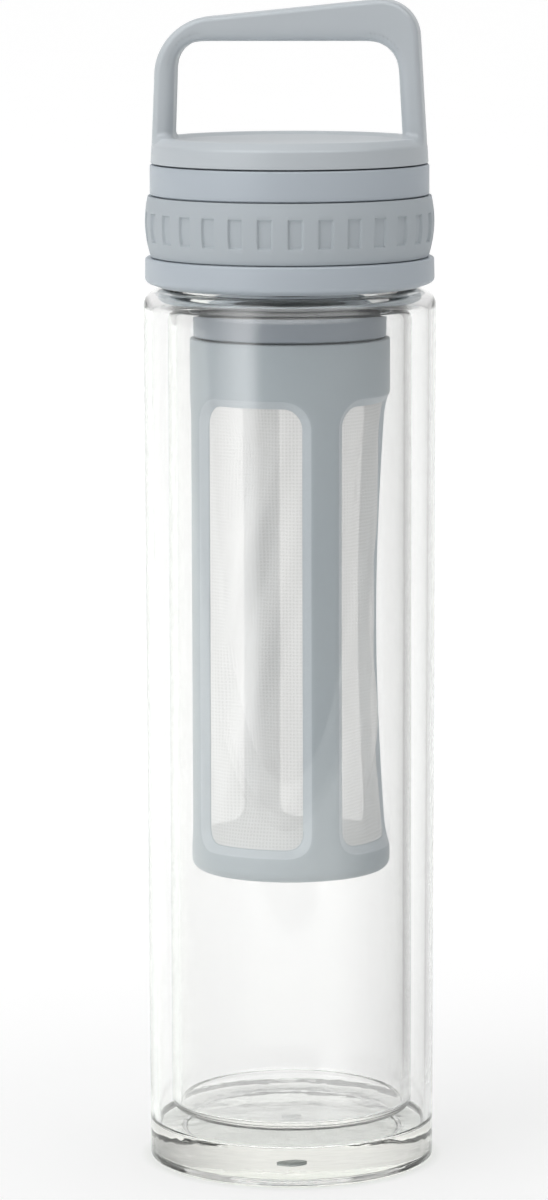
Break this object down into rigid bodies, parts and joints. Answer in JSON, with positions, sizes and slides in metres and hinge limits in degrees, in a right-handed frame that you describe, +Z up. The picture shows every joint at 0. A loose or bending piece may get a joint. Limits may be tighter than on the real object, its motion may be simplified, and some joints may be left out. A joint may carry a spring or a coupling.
{
  "type": "double-walled glass infuser flask",
  "caption": "Tall double-walled glass flask with a screw collar, a stopper cap with a carry handle, and a meshed infuser basket hanging inside.",
  "frame": {"origin": "centre of the foot, on the surface that the flask stands on", "axes": "+Z up along the flask's axis; X along the carry handle's bar, with +X towards its thick end"},
  "size_m": [0.068, 0.068, 0.273],
  "materials": {
    "glass": "clear blown borosilicate glass, very slightly green",
    "lid_plastic": "satin moulded polypropylene, blue-grey",
    "grip_silicone": "matte moulded silicone, pale grey",
    "basket_plastic": "satin moulded plastic, pale grey",
    "filter_mesh": "fine white woven nylon mesh, slightly see-through",
    "seal_silicone": "translucent white silicone",
    "port_seal": "grey sealing compound, matte"
  },
  "bodies": {
    "flask": {"outer_glass_shell": "glass", "inner_glass_liner": "glass", "port_seal_disc": "port_seal"},
    "gasket": {"rim_gasket": "seal_silicone"},
    "collar": {"collar_body": "lid_plastic", "grip_band": "grip_silicone", "filter_holder": "lid_plastic"},
    "cap_seal": {"cap_seal_ring": "seal_silicone"},
    "cap": {"cap_with_handle": "lid_plastic", "cap_plug": "lid_plastic"},
    "basket_floor": {"floor_mesh": "filter_mesh"},
    "basket": {"basket_frame": "basket_plastic", "mesh_panel_1": "filter_mesh", "mesh_panel_2": "filter_mesh", "mesh_panel_3": "filter_mesh", "mesh_panel_4": "filter_mesh"}
  },
  "joints": [
    {"name": "collar_lift", "type": "slide", "parent": "flask", "child": "gasket", "axis": [0, 0, 1], "range_m": [0, 0.0051]},
    {"name": "collar_turn", "type": "hinge", "parent": "gasket", "child": "collar", "pos_m": [0, 0, 0.2222], "axis": [0, 0, 1], "range_deg": [0, 450]},
    {"name": "cap_lift", "type": "slide", "parent": "collar", "child": "cap_seal", "axis": [0, 0, 1], "range_m": [0, 0.0051]},
    {"name": "cap_turn", "type": "hinge", "parent": "cap_seal", "child": "cap", "pos_m": [0, 0, 0.2355], "axis": [0, 0, 1], "range_deg": [0, 450]},
    {"name": "basket_drop", "type": "slide", "parent": "collar", "child": "basket_floor", "axis": [0, 0, -1], "range_m": [0, 0.0038]},
    {"name": "basket_turn", "type": "hinge", "parent": "basket_floor", "child": "basket", "pos_m": [0, 0, 0.19505], "axis": [0, 0, -1], "range_deg": [0, 450]}
  ],
  "couplings": [
    {"joint": "collar_lift", "follows": "collar_turn", "m_per_rad": 0.00063662},
    {"joint": "cap_lift", "follows": "cap_turn", "m_per_rad": 0.00063662},
    {"joint": "basket_drop", "follows": "basket_turn", "m_per_rad": 0.00047746}
  ]
}
